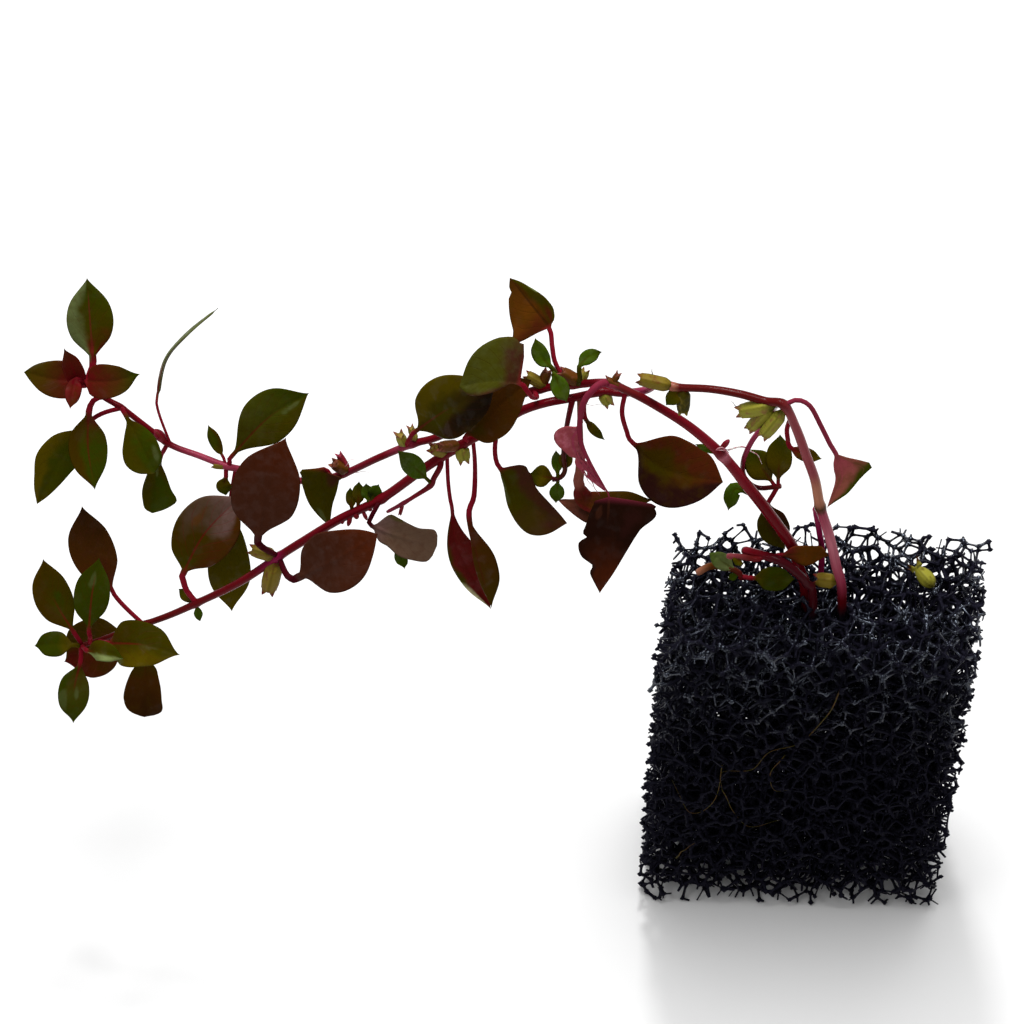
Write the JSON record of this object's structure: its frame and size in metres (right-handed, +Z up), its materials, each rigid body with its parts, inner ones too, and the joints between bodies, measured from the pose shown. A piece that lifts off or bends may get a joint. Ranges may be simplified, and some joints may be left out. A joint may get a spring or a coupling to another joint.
{
  "type": "red ludwigia aquarium plant in a foam block",
  "caption": "Red ludwigia stems with olive, brown and crimson leaves and seed capsules, arching out of an upright black open-cell foam block that roots them.",
  "frame": {"origin": "middle of the foam block's cut foot, on the surface it stands on", "axes": "+Z up, +X along the block's width, away from the side that the stems arch over, +Y from the front face that the picture shows to the back"},
  "size_m": [0.1662, 0.0459, 0.1369],
  "materials": {
    "foam": "black open-cell foam, struts slightly glossy",
    "crimson_stem": "smooth, slightly glossy, finely hairy",
    "yellow_green_capsule": "satin",
    "green_leaf": "satin, crimson midrib",
    "olive_leaf": "satin, crimson midrib",
    "brown_leaf": "satin",
    "purple_leaf_underside": "matte underside with a raised midrib",
    "dark_leaf": "matte",
    "pale_green_leaf": "satin"
  },
  "bodies": {
    "root": {"foam_block": "foam", "upper_stem": "crimson_stem", "lower_stem": "crimson_stem", "side_stem": "crimson_stem", "cut_stem": "crimson_stem", "pink_stub": "crimson_stem", "middle_shoot": "crimson_stem", "left_shoot": "crimson_stem", "inner_shoot": "crimson_stem", "low_shoot": "yellow_green_capsule", "fallen_capsule": "yellow_green_capsule", "upper_tip_leaf_low_left": "green_leaf", "upper_leaf_last_node": "green_leaf", "upper_leaf_blunt": "green_leaf", "upper_leaf_right_up": "green_leaf", "upper_leaf_small_down": "green_leaf", "upper_leaf_small_green_left": "green_leaf", "upper_leaf_small_green_front": "green_leaf", "upper_leaf_small_green_right": "green_leaf", "upper_leaf_small_behind": "green_leaf", "lying_green_leaf": "green_leaf", "lower_tip_leaf_middle": "green_leaf", "lower_tip_leaf_small_left": "green_leaf", "lower_tip_leaf_down": "green_leaf", "upper_tip_leaf_up": "olive_leaf", "upper_tip_leaf_left": "olive_leaf", "upper_tip_leaf_right": "olive_leaf", "upper_tip_leaf_down": "olive_leaf", "upper_leaf_small_up": "olive_leaf", "upper_leaf_hanging_behind": "olive_leaf", "upper_leaf_tapering": "olive_leaf", "upper_leaf_big": "olive_leaf", "lower_leaf_narrow": "olive_leaf", "lower_leaf_drooping": "olive_leaf", "lower_tip_leaf_left_up": "olive_leaf", "lower_tip_leaf_right": "olive_leaf", "upper_tip_leaf_small_up": "brown_leaf", "upper_leaf_top_folded": "brown_leaf", "lower_leaf_small_brown": "brown_leaf", "lower_leaf_folded_brown": "brown_leaf", "lower_leaf_behind": "brown_leaf", "lower_leaf_hanging_right": "brown_leaf", "lower_leaf_red_midrib": "brown_leaf", "orange_leaf": "brown_leaf", "leaf_behind_upper_stem": "brown_leaf", "lower_tip_leaf_up": "brown_leaf", "lower_tip_leaf_round_behind": "brown_leaf", "lower_tip_leaf_low_right": "brown_leaf", "lower_leaf_right_folded": "purple_leaf_underside", "lower_leaf_hanging_left": "purple_leaf_underside", "lower_leaf_grey_brown": "purple_leaf_underside", "lower_leaf_underside": "purple_leaf_underside", "lower_leaf_purple": "purple_leaf_underside", "upper_leaf_dark_torn": "dark_leaf", "upper_leaf_big_dark": "dark_leaf", "upper_tip_leaf_small_down": "pale_green_leaf", "upper_leaf_edge_on": "pale_green_leaf", "upper_leaf_rounded": "pale_green_leaf", "lower_tip_leaf_pale": "pale_green_leaf"}
  },
  "joints": []
}
